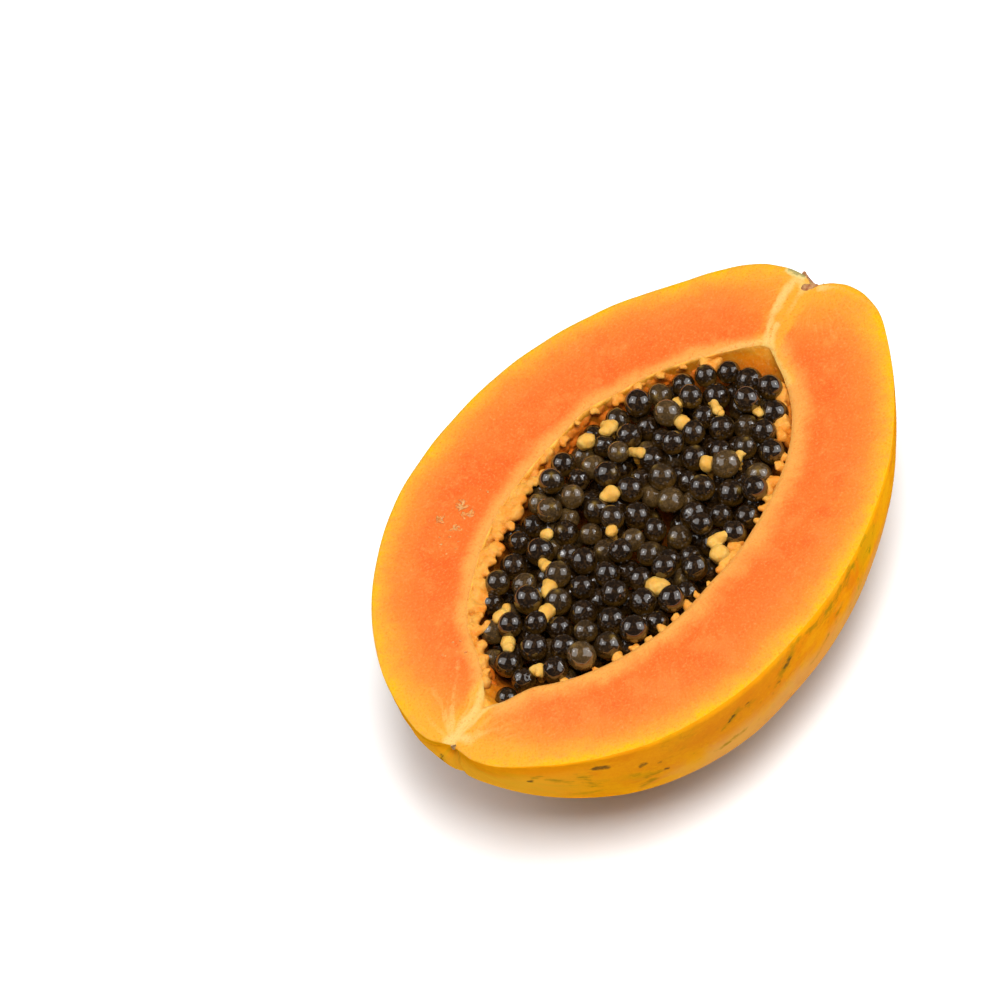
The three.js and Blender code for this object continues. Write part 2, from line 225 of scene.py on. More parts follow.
def drop_flat_faces(piece):
    """Clears faces that closed up to a line at the fruit's two ends."""
    work = bmesh.new()
    work.from_mesh(piece.data)
    bmesh.ops.dissolve_degenerate(work, dist=1e-7, edges=work.edges)
    bmesh.ops.recalc_face_normals(work, faces=work.faces)
    work.to_mesh(piece.data)
    work.free()


def points_of(piece):
    """The piece's points on the drawing, in millimetres."""
    co = np.zeros(len(piece.data.vertices) * 3)
    piece.data.vertices.foreach_get("co", co)
    return co.reshape(-1, 3) / MM + MIDDLE - np.array([0, 0, CUT_HEIGHT])


def set_points(piece, points):
    """Moves the piece's points to places on the drawing."""
    piece.data.vertices.foreach_set("co", to_part(points).ravel())
    piece.data.update()


def keep_number(piece, name, values):
    """Keeps a number for each point, for the materials to read."""
    layer = piece.data.attributes.new(name, "FLOAT", "POINT")
    layer.data.foreach_set("value", np.asarray(values, float))


def keep_place(piece, name, values):
    """Keeps a place for each point, for the materials to read."""
    layer = piece.data.attributes.new(name, "FLOAT_VECTOR", "POINT")
    layer.data.foreach_set("vector", np.asarray(values, float).ravel())


# Shader helpers

# brightness of the light where the cut face and the skin under it are seen
LIGHT_ON_CUT, LIGHT_ON_SKIN = 2.32, 1.55


class Signal:
    """A number that varies over a surface. Sums on it add the nodes that work it out."""

    def __init__(self, paint, socket):
        self.paint, self.socket = paint, socket

    def sum(self, operation, *values):
        node = self.paint.node("ShaderNodeMath", {"operation": operation}, dict(enumerate(values)))
        return Signal(self.paint, node.outputs[0])

    def __add__(self, other): return self.sum("ADD", self, other)
    def __radd__(self, other): return self.sum("ADD", other, self)
    def __sub__(self, other): return self.sum("SUBTRACT", self, other)
    def __rsub__(self, other): return self.sum("SUBTRACT", other, self)
    def __mul__(self, other): return self.sum("MULTIPLY", self, other)
    def __rmul__(self, other): return self.sum("MULTIPLY", other, self)

    def least(self, other): return self.sum("MINIMUM", self, other)
    def most(self, other): return self.sum("MAXIMUM", self, other)

    def ramp(self, low, high):
        """0 at low, 1 at high, smooth between."""
        node = self.paint.node("ShaderNodeMapRange", {"interpolation_type": "SMOOTHSTEP"},
                               {"Value": self, "From Min": low, "From Max": high})
        return Signal(self.paint, node.outputs[0])


class Paint:
    """One material being made."""

    def __init__(self, name, **settings):
        self.material = bpy.data.materials.new(name)
        self.material.use_nodes = True
        self.tree = self.material.node_tree
        self.shader = self.tree.nodes["Principled BSDF"]
        for key, value in settings.items():
            self.shader.inputs[key.replace("_", " ").title().replace("Ior", "IOR")].default_value = value

    def node(self, kind, settings, inputs):
        """Any node: its settings first, then the values or links of its sockets."""
        node = self.tree.nodes.new(kind)
        for key, value in settings.items():
            if key == "stops":
                ramp = node.color_ramp
                while len(ramp.elements) < len(value):
                    ramp.elements.new(0.5)
                for element, (place, colour) in zip(ramp.elements, value):
                    element.position, element.color = place, (*colour, 1)
            else:
                setattr(node, key, value)
        for key, value in inputs.items():
            self.set(node.inputs[key], value)
        return node

    def set(self, socket, value):
        if isinstance(value, Signal):
            value = value.socket
        if isinstance(value, bpy.types.NodeSocket):
            self.tree.links.new(value, socket)
        elif isinstance(value, tuple) and len(value) == 3 and socket.type == "RGBA":
            socket.default_value = (*value, 1)
        else:
            socket.default_value = value

    def number(self, name):
        """A number kept on the mesh."""
        node = self.node("ShaderNodeAttribute", {"attribute_name": name}, {})
        return Signal(self, node.outputs["Fac"])

    def place(self, name, stretch=(1, 1, 1)):
        """A place kept on the mesh, in millimetres, stretched."""
        node = self.node("ShaderNodeAttribute", {"attribute_name": name}, {})
        return self.node("ShaderNodeVectorMath", {"operation": "MULTIPLY"},
                         {0: node.outputs["Vector"], 1: stretch}).outputs[0]

    def clouds(self, where, scale, detail=3.0, roughness=0.5, twist=0.0):
        """Soft noise round 0.5."""
        node = self.node("ShaderNodeTexNoise", {}, {"Vector": where, "Scale": scale, "Detail": detail,
                                                    "Roughness": roughness, "Distortion": twist})
        return Signal(self, node.outputs["Fac"])

    def cells(self, where, scale):
        """Distance to the nearest of many scattered points."""
        node = self.node("ShaderNodeTexVoronoi", {}, {"Vector": where, "Scale": scale})
        return Signal(self, node.outputs["Distance"])

    def gap_to_line(self, place, first, last):
        """Distance from a place to the straight line between two points, in millimetres."""
        way = Vector(last) - Vector(first)
        start = self.node("ShaderNodeVectorMath", {"operation": "SUBTRACT"}, {0: place, 1: first})
        along = self.node("ShaderNodeVectorMath", {"operation": "DOT_PRODUCT"},
                          {0: start.outputs[0], 1: tuple(way / way.length_squared)})
        along = Signal(self, along.outputs["Value"]).most(0.0).least(1.0)
        near = self.node("ShaderNodeVectorMath", {"operation": "SCALE"}, {0: tuple(way), "Scale": along})
        gap = self.node("ShaderNodeVectorMath", {"operation": "DISTANCE"},
                        {0: start.outputs[0], 1: near.outputs[0]})
        return Signal(self, gap.outputs["Value"])

    def mix(self, share, under, over):
        """Colour over on colour under, by share."""
        return self.node("ShaderNodeMix", {"data_type": "RGBA"},
                         {0: share, 6: under, 7: over}).outputs[2]

    def finish(self, colour, roughness=None, relief=None, relief_depth=0.3, relief_strength=1.0):
        self.set(self.shader.inputs["Base Color"], colour)
        if roughness is not None:
            self.set(self.shader.inputs["Roughness"], roughness)
        if relief is not None:
            bump = self.node("ShaderNodeBump", {}, {"Height": relief, "Distance": relief_depth * MM,
                                                    "Strength": relief_strength})
            self.set(self.shader.inputs["Normal"], bump.outputs["Normal"])
        return self.material


def tone(red, green, blue, light=LIGHT_ON_CUT):
    """The surface colour that shows as this screen colour, 0 to 255, in that much light."""
    return tuple((c / 12.92 if c <= 0.04045 else ((c + 0.055) / 1.055) ** 2.4) / light
                 for c in (red / 255, green / 255, blue / 255))


def skin_tone(red, green, blue):
    """The same for the skin, which gets less light."""
    return tone(red, green, blue, LIGHT_ON_SKIN)


# The fruit

SKIN, CUT, LINING = 0, 1, 2
SKIN_ROWS, SKIN_STEPS, FACE_STEPS, LINING_STEPS = 360, 96, 44, 36
RIM_ROUND = 0.35
LIP_ROUND = 0.8
CREASE_ANGLE = 1.62
CREASE_DEPTH = 1.7


def gap_to(points, line):
    """Distance on the cut face from each point to a line of close points."""
    gaps = []
    for k in range(0, len(points), 4000):
        part = points[k:k + 4000, None, :2] - line[None, :, :2]
        gaps.append(np.sqrt((part * part).sum(2).min(1)))
    return np.concatenate(gaps)


def edge_loop(right, left):
    """Close points all round an outline."""
    t = np.linspace(0, 1, 700)
    r, l = along_edge(right, t), along_edge(left, t)
    return np.concatenate([r * (1, -1), l[::-1]])


def cut_side(outer, inner, side):
    """Grid over one side of the cut face, from the rim to the edge of the cavity."""
    t = np.linspace(0, 1, SKIN_ROWS + 1)
    o, i = along_edge(outer, t) * (1, side), along_edge(inner, t) * (1, side)
    s = 0.5 - 0.5 * np.cos(np.linspace(0, math.pi, FACE_STEPS + 1))
    flat = o[:, None, :] + (i - o)[:, None, :] * s[None, :, None]
    return np.concatenate([flat, np.zeros(flat.shape[:2] + (1,))], -1)


def make_fruit():
    """One closed skin, cut face and cavity lining."""
    skin = round_back(RIGHT_EDGE, LEFT_EDGE, BACK_DEPTH, BACK_FULLNESS, SKIN_ROWS, SKIN_STEPS, True)
    lining = round_back(CAVITY_RIGHT, CAVITY_LEFT, CAVITY_DEPTH, CAVITY_FULLNESS, SKIN_ROWS,
                        LINING_STEPS)
    right = cut_side(RIGHT_EDGE, CAVITY_RIGHT, -1)
    left = cut_side(LEFT_EDGE, CAVITY_LEFT, 1)
    points, faces, kinds = [], [], []
    for kind, grid, flip in ((SKIN, skin, False), (CUT, right, True), (CUT, left, False),
                             (LINING, lining, True)):
        start = sum(len(p) for p in points)
        points.append(grid.reshape(-1, 3))
        made = grid_faces(grid.shape[0], grid.shape[1], start, flip)
        faces.append(made)
        kinds += [kind] * len(made)
    piece = make_piece("papaya_half", np.concatenate(points), np.concatenate(faces))
    piece.data.polygons.foreach_set("material_index", kinds)
    apply_modifier(piece, "WELD", merge_threshold=2e-6)
    drop_flat_faces(piece)
    shape_fruit(piece)
    piece.data.shade_smooth()
    return piece


def side_of_points(piece):
    """For each point SKIN, CUT or LINING."""
    mesh = piece.data
    side, size = np.zeros(len(mesh.polygons), int), np.zeros(len(mesh.polygons), int)
    mesh.polygons.foreach_get("material_index", side)
    mesh.polygons.foreach_get("loop_total", size)
    corner = np.zeros(len(mesh.loops), int)
    mesh.loops.foreach_get("vertex_index", corner)
    kind = np.zeros(len(mesh.vertices), int)
    np.maximum.at(kind, corner, np.repeat(side, size))
    return kind


def shape_fruit(piece):
    """Relief of skin, cut face and lining, and the numbers that their colours need."""
    p = points_of(piece)
    kind = side_of_points(piece)
    level = p[:, 2] > -1e-6
    on_skin, on_face, in_cavity = kind == SKIN, (kind == CUT) | level, (kind == LINING) & ~level
    rim_gap, lip_gap = np.full(len(p), 9.0), np.full(len(p), 9.0)
    rim_gap[on_face] = gap_to(p[on_face], edge_loop(RIGHT_EDGE, LEFT_EDGE))
    lip_gap[on_face] = gap_to(p[on_face], edge_loop(CAVITY_RIGHT, CAVITY_LEFT))
    depth = -p[:, 2]
    p[:, 2] = np.maximum(p[:, 2], -CUT_HEIGHT)

    # the rim and the lip of the cavity are slightly rounded, not knife-sharp
    drop = RIM_ROUND * np.exp(-rim_gap / 0.3) * on_face + LIP_ROUND * np.exp(-lip_gap / 0.7) * on_face
    drop += RIM_ROUND * np.exp(-depth / 0.5) * on_skin + LIP_ROUND * np.exp(-depth / 1.0) * in_cavity
    face = np.where(on_face)[0]
    inside = fade(rim_gap[face], 0.5, 4) * fade(lip_gap[face], 0.3, 3)
    swell = cloud(p[face], 14, 3.1, 3) * 0.16 + cloud(p[face], 3.2, 8.4, 3) * 0.05
    p[face, 2] += np.minimum(0, swell * inside - 0.05 * inside)
    p[:, 2] -= drop

    # shallow dents in the skin, strongest round the two ends, and one crease at the blossom end
    back = np.where(on_skin & ~level)[0]
    skin = p[back]
    ends = np.maximum(fade(-skin[:, 0], -22, 0), fade(skin[:, 0], 140, 162))
    fold = np.maximum(0, cloud(skin * (0.5, 1, 1), 16, 5.2, 3)) * (0.18 + 0.75 * ends)
    off_crease = np.hypot(skin[:, 1], skin[:, 2]) * (np.arctan2(-skin[:, 2], -skin[:, 1]) - CREASE_ANGLE)
    fold += CREASE_DEPTH * np.exp(-(off_crease / 1.3) ** 2) * fade(-skin[:, 0], -15, -3)
    inward = skin - FRUIT_MIDDLE
    inward /= np.linalg.norm(inward, axis=1)[:, None]
    hold = fade(depth[back], 0.3, 4) * fade(skin[:, 2], -CUT_HEIGHT + 0.2, -CUT_HEIGHT + 5)
    p[back] -= inward * (fold * hold)[:, None]

    # the lining of the cavity is uneven, but smooth in the empty hollow at its stem tip
    wall = np.where(in_cavity)[0]
    bumps = cloud(p[wall], 2.6, 1.7, 3) * 0.55 + cloud(p[wall], 7, 6.3, 2) * 0.5
    bumps *= 1 - 0.8 * fade(p[wall, 0], 118, 126)
    middle = p[wall] - CAVITY_MIDDLE
    middle /= np.linalg.norm(middle, axis=1)[:, None]
    p[wall] += middle * (bumps * fade(depth[wall], 0.2, 2.5))[:, None]
    set_points(piece, p)

    # where the cut face and the skin change colour
    x, y, z = p.T
    near_end = np.maximum(fade(-x, -34, -2), fade(x, 132, 162))
    frayed = fade(2.4 + 0.8 * cloud(p, 1.2, 2.6, 2) - rim_gap, 0, 1.8)
    numbers = {
        "rim_gap": rim_gap * (1 - 0.42 * near_end),
        "lip_gap": lip_gap * (0.6 + 0.4 * fade(y, -8, 8)),
        "pale_strand": drawn_lines(p, STRANDS),
        "golden": drawn_lines(p, GOLDEN),
        "dry_lip": fade(3.8 - np.hypot(x - 162.2, y - 5.8), 0, 1.6) * frayed,
        "marked_side": fade(-y, 8, 20) * fade(-depth, -34, -26),
        # painted sheen: where the lower skin on the seen side is paled as if it mirrored the bright floor
        "sun_paled": fade(depth, 8, 22) * fade(x, 12, 48) * fade(-y, -5, 25),
        "ripest": np.exp(-((x - 42) / 26) ** 2 - ((depth - 7) / 9) ** 2) * fade(-y, 0, 20),
        "yellow_end": fade(-x, -16, -3) * fade(depth, 2, 8) * fade(-y, -30, -10),
        "near_end": near_end,
        "depth": depth,
        "notch_gap": np.minimum(np.hypot(x, y), np.hypot(x - STEM_NOTCH, y)),
        "scar_gap": np.hypot(x - 160.5, np.hypot(y, z))}
    for name, values in numbers.items():
        keep_number(piece, name, values)

    # fibres run out from the cavity and fan out from each notch, and the skin's marks run along it
    ahead, from_notch = x - CAVITY_MIDDLE[0], np.minimum(x, STEM_NOTCH - x)
    fan = np.arctan2(y, from_notch + np.where(x < STEM_NOTCH / 2, 3, 4))
    places = {
        "fibre": (np.arctan2(y, ahead) * 60, np.hypot(y, ahead), z),
        "fan": (fan * 20, from_notch, z),
        "skin_place": (x, np.arctan2(-z, -y) * 40, 0 * x),
        "spot": (x, y, z)}
    for name, values in places.items():
        keep_place(piece, name, np.stack(values, -1))


# Lines on the cut between the notches and the cavity: points, half-width, strength at the start and
# how much of it is lost by the end. Golden ones are broad, the cream strands in them narrower.
GOLDEN = [
    ([(161.5, 2.4), (155, 2.4), (149, 1.8), (143, 0.6), (138, -1.5), (134, -8)], 3.6, 1.0, 0.3),
    ([(156, -0.4), (149.7, -0.8), (144.8, -1.5), (140.8, -2.3), (137.5, -3.9), (132, -12)], 1.6, 1.0, 0.3),
    ([(0, 0.4), (6, 0.8), (12, 1.6), (17, 2.6)], 3.4, 1.0, 0.2),
    ([(0, -1), (2.5, -9), (7, -18)], 3.2, 0.8, 0.6), ([(0, 2), (2.5, 10), (7, 20)], 3.2, 0.8, 0.6)]
STRANDS = [
    ([(161, 5), (155, 4.9), (151.1, 4.5), (146.4, 3.3), (143, 2), (139.2, 0.3)], 1.2, 0.85, 0),
    ([(159, 2.4), (157.5, 1.4), (154.8, 0.9), (149.3, -0.1)], 0.9, 0.85, 0.6),
    ([(160.6, 3.6), (159.2, 1.8)], 1.8, 0.85, 0.2),
    ([(145, 1.2), (141.2, -0.2), (139.2, -1.5), (136.4, -4.6), (133.8, -8.8), (131.2, -12.3)],
     1.1, 0.8, 0.3),
    ([(140, 0.6), (134.6, 6.6), (128, 12.4), (121, 17.6)], 1.0, 0.65, 0.4),
    ([(160.7, -2.7), (162.2, -4.9), (163, -7.8)], 1.0, 0.75, 0.5),
    ([(0.6, 0.5), (6.1, 1.1), (11.4, 1.3), (17.2, 3.2), (21.1, 5.1)], 1.1, 1.0, 0.4),
    ([(1.4, 0.4), (7.9, -0.3), (13.1, -1.1), (16.3, -3.3)], 0.6, 0.85, 0.3),
    ([(0.4, 1.8), (2.4, 0.4), (3, -1.8)], 1.7, 1.0, 0.2),
    ([(2, 2.2), (3.3, 3.6), (7.5, 8.4), (11.1, 14.6), (12, 18.4)], 0.9, 0.75, 0.8),
    ([(2, 2), (4.4, 3.4), (9.3, 7), (16.9, 11.1), (23.1, 15.1)], 0.7, 0.75, 0.6),
    ([(3, 1.4), (6, 2.3), (12.1, 3.6), (17.8, 5.8)], 0.6, 0.75, 0.7),
    ([(1, 3), (3, 9), (5.4, 15)], 0.7, 0.6, 0.8),
    ([(2.4, -1.8), (3.9, -2.8), (8.7, -6.4), (12.9, -12.3)], 0.7, 0.75, 0.8),
    ([(3, -1.6), (4.7, -2.6), (14.5, -4.5), (24.5, -14.8)], 0.6, 0.6, 0.8)]


def drawn_lines(p, lines):
    """How strongly each point of the cut is touched by soft-edged lines."""
    flat = np.stack([p[:, 0], p[:, 1], np.zeros(len(p))], -1)
    wander = cloud(flat, 4, 2.2, 2) * 0.9 + cloud(flat, 1.1, 5.1, 2) * 0.35
    touched = np.zeros(len(p))
    for line, half, strength, lost in lines:
        way = along_edge(line, np.linspace(0, 1, 40))
        for k, (a, b) in enumerate(zip(way, way[1:])):
            along = np.clip(((flat[:, :2] - a) @ (b - a)) / ((b - a) @ (b - a)), 0, 1)
            off = np.linalg.norm(flat[:, :2] - a - along[:, None] * (b - a), axis=1)
            here = strength * (1 - lost * k / 39)
            touched = np.maximum(touched, here * fade(half * 2 - off + wander * half * 0.4, 0, half * 2))
    return touched


# Marks on the side of the skin that is seen: both ends of each on the drawing, and its half-width.
OLIVE_STREAKS = [
    ((91, -56, -2), (88, -56.4, -4), 1.6), ((85, -56.6, -3.4), (77, -56.7, -5.2), 1.5),
    ((75, -56.7, -4.6), (70, -56.6, -3.4), 1.3), ((68, -56.4, -2.4), (65, -56.2, -2.2), 0.9),
    ((85.4, -56.2, -9.6), (83, -56.3, -11), 0.8), ((78.2, -55.8, -15), (72, -55, -18.8), 1.0),
    ((64, -55.8, -5), (60.5, -55.6, -7.4), 1.5), ((59.6, -55.2, -9.6), (57.4, -55, -10.6), 0.7),
    ((50, -53.6, -8.4), (45.5, -52.4, -7), 0.8), ((44.6, -52, -7.2), (41, -50.8, -10.4), 0.9),
    ((47, -51, -18.6), (39, -48.5, -19.6), 0.8), ((19.2, -37.4, -11.7), (20.8, -38.8, -12.5), 0.9),
    ((22.4, -39.9, -14.7), (24.9, -41.5, -15), 0.9), ((22.2, -37.5, -20.3), (23.7, -39.7, -17.9), 0.9),
    ((11, -29.4, -8), (13, -30.9, -12.6), 1.5), ((6.2, -22.9, -6.6), (9.4, -27, -9.8), 1.0),
    ((4.2, -19.9, -5.7), (5.3, -21.8, -4.9), 0.8), ((10.4, -25, -17.9), (14.4, -30.7, -16.7), 1.1),
    ((-1.3, 4.1, -5.8), (-0.8, 4.9, -9.4), 0.8)]
DARK_SPOTS = [
    ((63.4, -55.8, -5.9), (61.7, -55.7, -6.5), 0.75), ((59, -55.2, -10.2), (58.2, -55.1, -10.1), 0.35),
    ((48.3, -53.4, -7), (46.3, -52.6, -7.1), 0.3), ((44, -52, -7.6), (42.4, -51.3, -9), 0.35),
    ((64.1, -53, -23.9), (63.9, -52.6, -24.9), 0.4), ((13.2, -32.3, -5), (15.5, -34.6, -5.3), 0.7),
    ((21, -39.7, -8.5), (22, -40.6, -8.3), 0.55), ((24.6, -42.2, -10.1), (25.3, -42.7, -10.4), 0.3),
    ((26.3, -42.6, -14.5), (26.9, -43, -15), 0.35), ((-1.3, 4.1, -5.8), (-1.2, 4.1, -6.5), 0.5),
    ((-0.9, 4.7, -8.2), (-0.8, 5, -9.2), 0.5), ((3.8, -19, -7.5), (4, -19.4, -7), 0.5)]


def paint_skin():
    """Amber skin with olive streaks and dark specks, dry and grey-green round the stem scar."""
    paint = Paint("papaya_skin", specular_ior_level=0.0, subsurface_weight=0.06,
                  subsurface_scale=4 * MM, subsurface_radius=(1.0, 0.45, 0.12))
    flat, spot = paint.place("skin_place"), paint.place("spot")
    streak = paint.clouds(paint.place("skin_place", (0.3, 1.0, 1.0)), 0.22, 5, 0.65, 0.6)
    off_end = 1 - paint.number("near_end") * 0.85
    streak = 0.5 + (streak - 0.5) * off_end
    strewn = off_end * (1 - paint.number("marked_side") * 0.85)
    broad = paint.clouds(spot, 0.028, 3, 0.55, 0.4)
    blotch = paint.clouds(flat, 0.09, 5, 0.62, 0.8)
    grain = paint.clouds(spot, 0.9, 4, 0.7) - 0.5
    near_end, depth = paint.number("near_end"), paint.number("depth")
    colour = paint.mix((broad * 0.9 + streak * 0.5 - 0.2 + grain * 0.3).ramp(0.3, 0.75),
                       skin_tone(254, 176, 18), skin_tone(248, 142, 10))
    colour = paint.mix((blotch + streak * 0.5 + grain * 0.3 - 0.25).ramp(0.42, 0.7) * 0.6, colour,
                       skin_tone(234, 120, 10))
    colour = paint.mix((streak + grain * 0.3).ramp(0.55, 0.72) * 0.4, colour, skin_tone(255, 192, 60))
    olive_where = (paint.clouds(flat, 0.055, 4, 0.6, 0.6) + near_end * 0.08 + grain * 0.1).ramp(0.53, 0.66)
    colour = paint.mix(olive_where * 0.6, colour, skin_tone(214, 164, 14))
    green_where = (paint.clouds(flat, 0.2, 5, 0.7, 1.0) + near_end * 0.05).ramp(0.53, 0.64)
    colour = paint.mix(green_where * olive_where * off_end * 0.85, colour, skin_tone(146, 132, 18))
    colour = paint.mix(paint.number("ripest") * (0.9 + grain), colour, skin_tone(220, 130, 24))
    colour = paint.mix((paint.number("yellow_end") + grain * 0.4) * 0.75, colour, skin_tone(255, 184, 46))
    # painted sheen: the lower skin on the seen side paled to beige in place of the bright floor it would
    # mirror
    colour = paint.mix((paint.number("sun_paled") + (blotch - 0.5) * 1.2).ramp(0.1, 1.0) * 0.6, colour,
                       skin_tone(232, 172, 98))
    # broken dark dashes along the fruit, and small round specks with a soft halo
    dashes = paint.clouds(paint.place("skin_place", (0.35, 1.0, 1.0)), 0.75, 3, 0.6, 0.8)
    dashed = paint.clouds(flat, 0.1, 3, 0.6).ramp(0.46, 0.56) * strewn
    colour = paint.mix(dashes.ramp(0.54, 0.64) * dashed * 0.7, colour, skin_tone(164, 128, 16))
    colour = paint.mix(dashes.ramp(0.62, 0.69) * dashed * 0.75, colour, skin_tone(92, 82, 28))
    fleck = paint.cells(flat, 0.3)
    flecked = paint.clouds(flat, 0.16, 2).ramp(0.46, 0.56) * strewn
    fleck_where = (0.13 - fleck + grain * 0.08).ramp(0.0, 0.06) * flecked
    colour = paint.mix((0.27 - fleck + grain * 0.1).ramp(0.0, 0.16) * flecked * 0.5, colour,
                       skin_tone(182, 146, 34))
    colour = paint.mix(fleck_where * 0.85, colour, skin_tone(84, 66, 34))
    # just under the cut the skin is a clean, strong amber
    colour = paint.mix((4.5 - depth + grain * 4).ramp(0.0, 4.0) * 0.55, colour, skin_tone(232, 152, 8))
    # streaks and spots where the side that is seen has them
    ragged = (dashes - 0.5) * 5 + (blotch - 0.5) * 2 + grain * 2
    for marks, low, high, share, mark_tone in ((OLIVE_STREAKS, 0.0, 2.2, 0.7, skin_tone(154, 126, 18)),
                                               (DARK_SPOTS, 0.0, 1.6, 0.85, skin_tone(92, 72, 32))):
        nearest = None
        for first, last, half in marks:
            gap = paint.gap_to_line(spot, first, last) * (1 / half)
            nearest = gap if nearest is None else nearest.least(gap)
        colour = paint.mix((1.6 - nearest + ragged).ramp(low, high) * share, colour, mark_tone)
    # round the stem scar it is dry and grey-green
    dry = (10.5 - paint.number("scar_gap") + (blotch - 0.5) * 6).ramp(0.0, 4.5)
    colour = paint.mix(dry * 0.8, colour, skin_tone(158, 152, 90))
    rough = 0.46 + grain * 0.14 + olive_where * 0.08 + dry * 0.3
    relief = streak * 0.4 + grain * 0.3 + blotch * 0.3 - fleck_where * 0.5
    return paint.finish(colour, rough, relief, relief_depth=0.4, relief_strength=0.6)


def paint_flesh():
    """Orange flesh, yellow at the rim, golden at the notches and pale beside the cavity."""
    paint = Paint("papaya_flesh", specular_ior_level=0.2, subsurface_weight=0.12,
                  subsurface_scale=1.2 * MM, subsurface_radius=(1.0, 0.3, 0.1))
    spot, fibre = paint.place("spot"), paint.place("fibre", (1.0, 0.2, 1.0))
    rim, lip = paint.number("rim_gap"), paint.number("lip_gap")
    wander = paint.clouds(spot, 0.12, 3) - 0.5
    fine = paint.clouds(fibre, 0.55, 5, 0.65, 0.5) - 0.5
    grain = paint.clouds(spot, 1.5, 3, 0.75) - 0.5
    speckle = paint.clouds(spot, 0.42, 5, 0.7, 0.4) - 0.5
    where = rim + wander * 5 + fine * 3 + speckle * 3
    bands = paint.node("ShaderNodeValToRGB", {"stops": [
        (0.0, tone(255, 196, 12)), (0.03, tone(255, 190, 40)), (0.11, tone(255, 174, 54)),
        (0.27, tone(254, 145, 54)), (0.5, tone(254, 127, 50)), (1.0, tone(254, 118, 43))]},
        {"Fac": where * (1 / 22)})
    colour = bands.outputs["Color"]
    red_where = (paint.clouds(spot, 0.05, 3, 0.5, 0.5) + fine * 0.35 + speckle * 0.5).ramp(0.5, 0.66)
    colour = paint.mix(red_where * rim.ramp(5, 14) * lip.ramp(2, 7) * 0.75, colour, tone(253, 104, 36))
    pale_where = (paint.clouds(spot, 0.1, 3, 0.5, 0.4) + fine * 0.5 + speckle * 0.5).ramp(0.5, 0.68)
    colour = paint.mix(pale_where * rim.ramp(3, 9) * 0.4, colour, tone(255, 152, 70))
    # towards the two notches the flesh turns golden, with pale threads fanning out of them
    notch = paint.number("notch_gap")
    colour = paint.mix((25 - notch + wander * 14 + fine * 8).ramp(0, 24) * 0.55, colour,
                       tone(255, 170, 50))
    fan = paint.place("fan", (1.0, 0.16, 0.3))
    threads = paint.clouds(fan, 0.6, 5, 0.72, 1.2).ramp(0.52, 0.66) * (24 - notch + wander * 12).ramp(0, 20)
    colour = paint.mix(threads * 0.4, colour, tone(255, 198, 104))
    # a pale yellow band beside the cavity
    beside = 1 - (lip + wander * 4 + fine * 2.6 + speckle * 2.4).ramp(0.3, 4.4)
    colour = paint.mix(beside * 0.82, colour, tone(255, 186, 88))
    golden = paint.number("golden") + grain * 0.3 + fine * 0.6 + speckle * 0.4
    colour = paint.mix(golden.ramp(0.1, 0.85) * 0.8, colour, tone(255, 182, 52))
    strand = paint.number("pale_strand") + grain * 0.3 + fine * 0.6 + speckle * 0.4
    colour = paint.mix(strand.ramp(0.15, 1.0) * 0.9, colour, tone(255, 218, 128))
    colour = paint.mix(grain.ramp(0.02, 0.2) * 0.55, colour, tone(255, 170, 96))
    colour = paint.mix((0 - grain).ramp(0.02, 0.2) * 0.45, colour, tone(248, 94, 22))
    colour = paint.mix(speckle.ramp(0.03, 0.2) * 0.3, colour, tone(255, 164, 78))
    dry = paint.number("dry_lip")
    colour = paint.mix(dry.ramp(0.0, 0.6) * 0.7, colour, tone(244, 226, 150))
    colour = paint.mix((dry + grain * 0.8).ramp(0.6, 1.0) * 0.85, colour, tone(170, 160, 100))
    glint = paint.clouds(spot, 3.2, 2, 0.5).ramp(0.66, 0.74)
    rough = 0.5 - glint * 0.25 + grain * 0.2
    relief = fine * 0.5 + grain * 0.6 + glint * 0.25 + speckle * 0.6
    return paint.finish(colour, rough, relief, relief_depth=0.4, relief_strength=0.6)


def paint_lining(name="papaya_lining", pale=(255, 172, 44), warm=(253, 146, 16), deep_shade=(214, 104, 18),
                 shade_from=1.0, shade_to=7.0, top=tone(255, 182, 76, 1.6), top_share=0.85):
    """Lumpy lining: pale and warm mixed, darker orange further down as painted shade of the recess, partly
    its own deeper colour, and lighter at the cut.
    """
    paint = Paint(name, specular_ior_level=0.25, coat_weight=0.08, coat_roughness=0.15,
                  subsurface_weight=0.25, subsurface_scale=2 * MM, subsurface_radius=(1.0, 0.4, 0.1))
    spot = paint.place("spot")
    lumps = paint.clouds(spot, 0.3, 4, 0.6)
    grain = paint.clouds(spot, 1.5, 4, 0.7) - 0.5
    colour = paint.mix(lumps.ramp(0.38, 0.66), tone(*warm), tone(*pale))
    # painted shade: darker orange further down the wall and the lumps, where the recess is shaded, partly
    # the lining's own deeper colour
    colour = paint.mix((paint.number("depth") + (lumps - 0.5) * 5).ramp(shade_from, shade_to) * 0.85,
                       colour, tone(*deep_shade))
    colour = paint.mix((2.2 - paint.number("depth") + grain * 3).ramp(0.0, 2.0) * top_share, colour, top)
    colour = paint.mix(grain.ramp(0.02, 0.2) * 0.3, colour, tone(255, 208, 116))
    return paint.finish(colour, 0.4 + grain * 0.25, grain * 0.4 + lumps * 0.5, relief_depth=0.3,
                        relief_strength=0.6)


# Seeds and lumps in the cavity

def widths_along(points):
    """A function that gives a wall's distance from the axis and its slope at a place x."""
    samples = along_edge(points, np.linspace(0, 1, 161))

    def width(x):
        for k in range(1, 161):
            a, b = samples[k - 1], samples[k]
            if b[0] >= x:
                run = max(1e-9, b[0] - a[0])
                return a[1] + (b[1] - a[1]) * (x - a[0]) / run, (b[1] - a[1]) / run
        return 0.0, 0.0
    return width


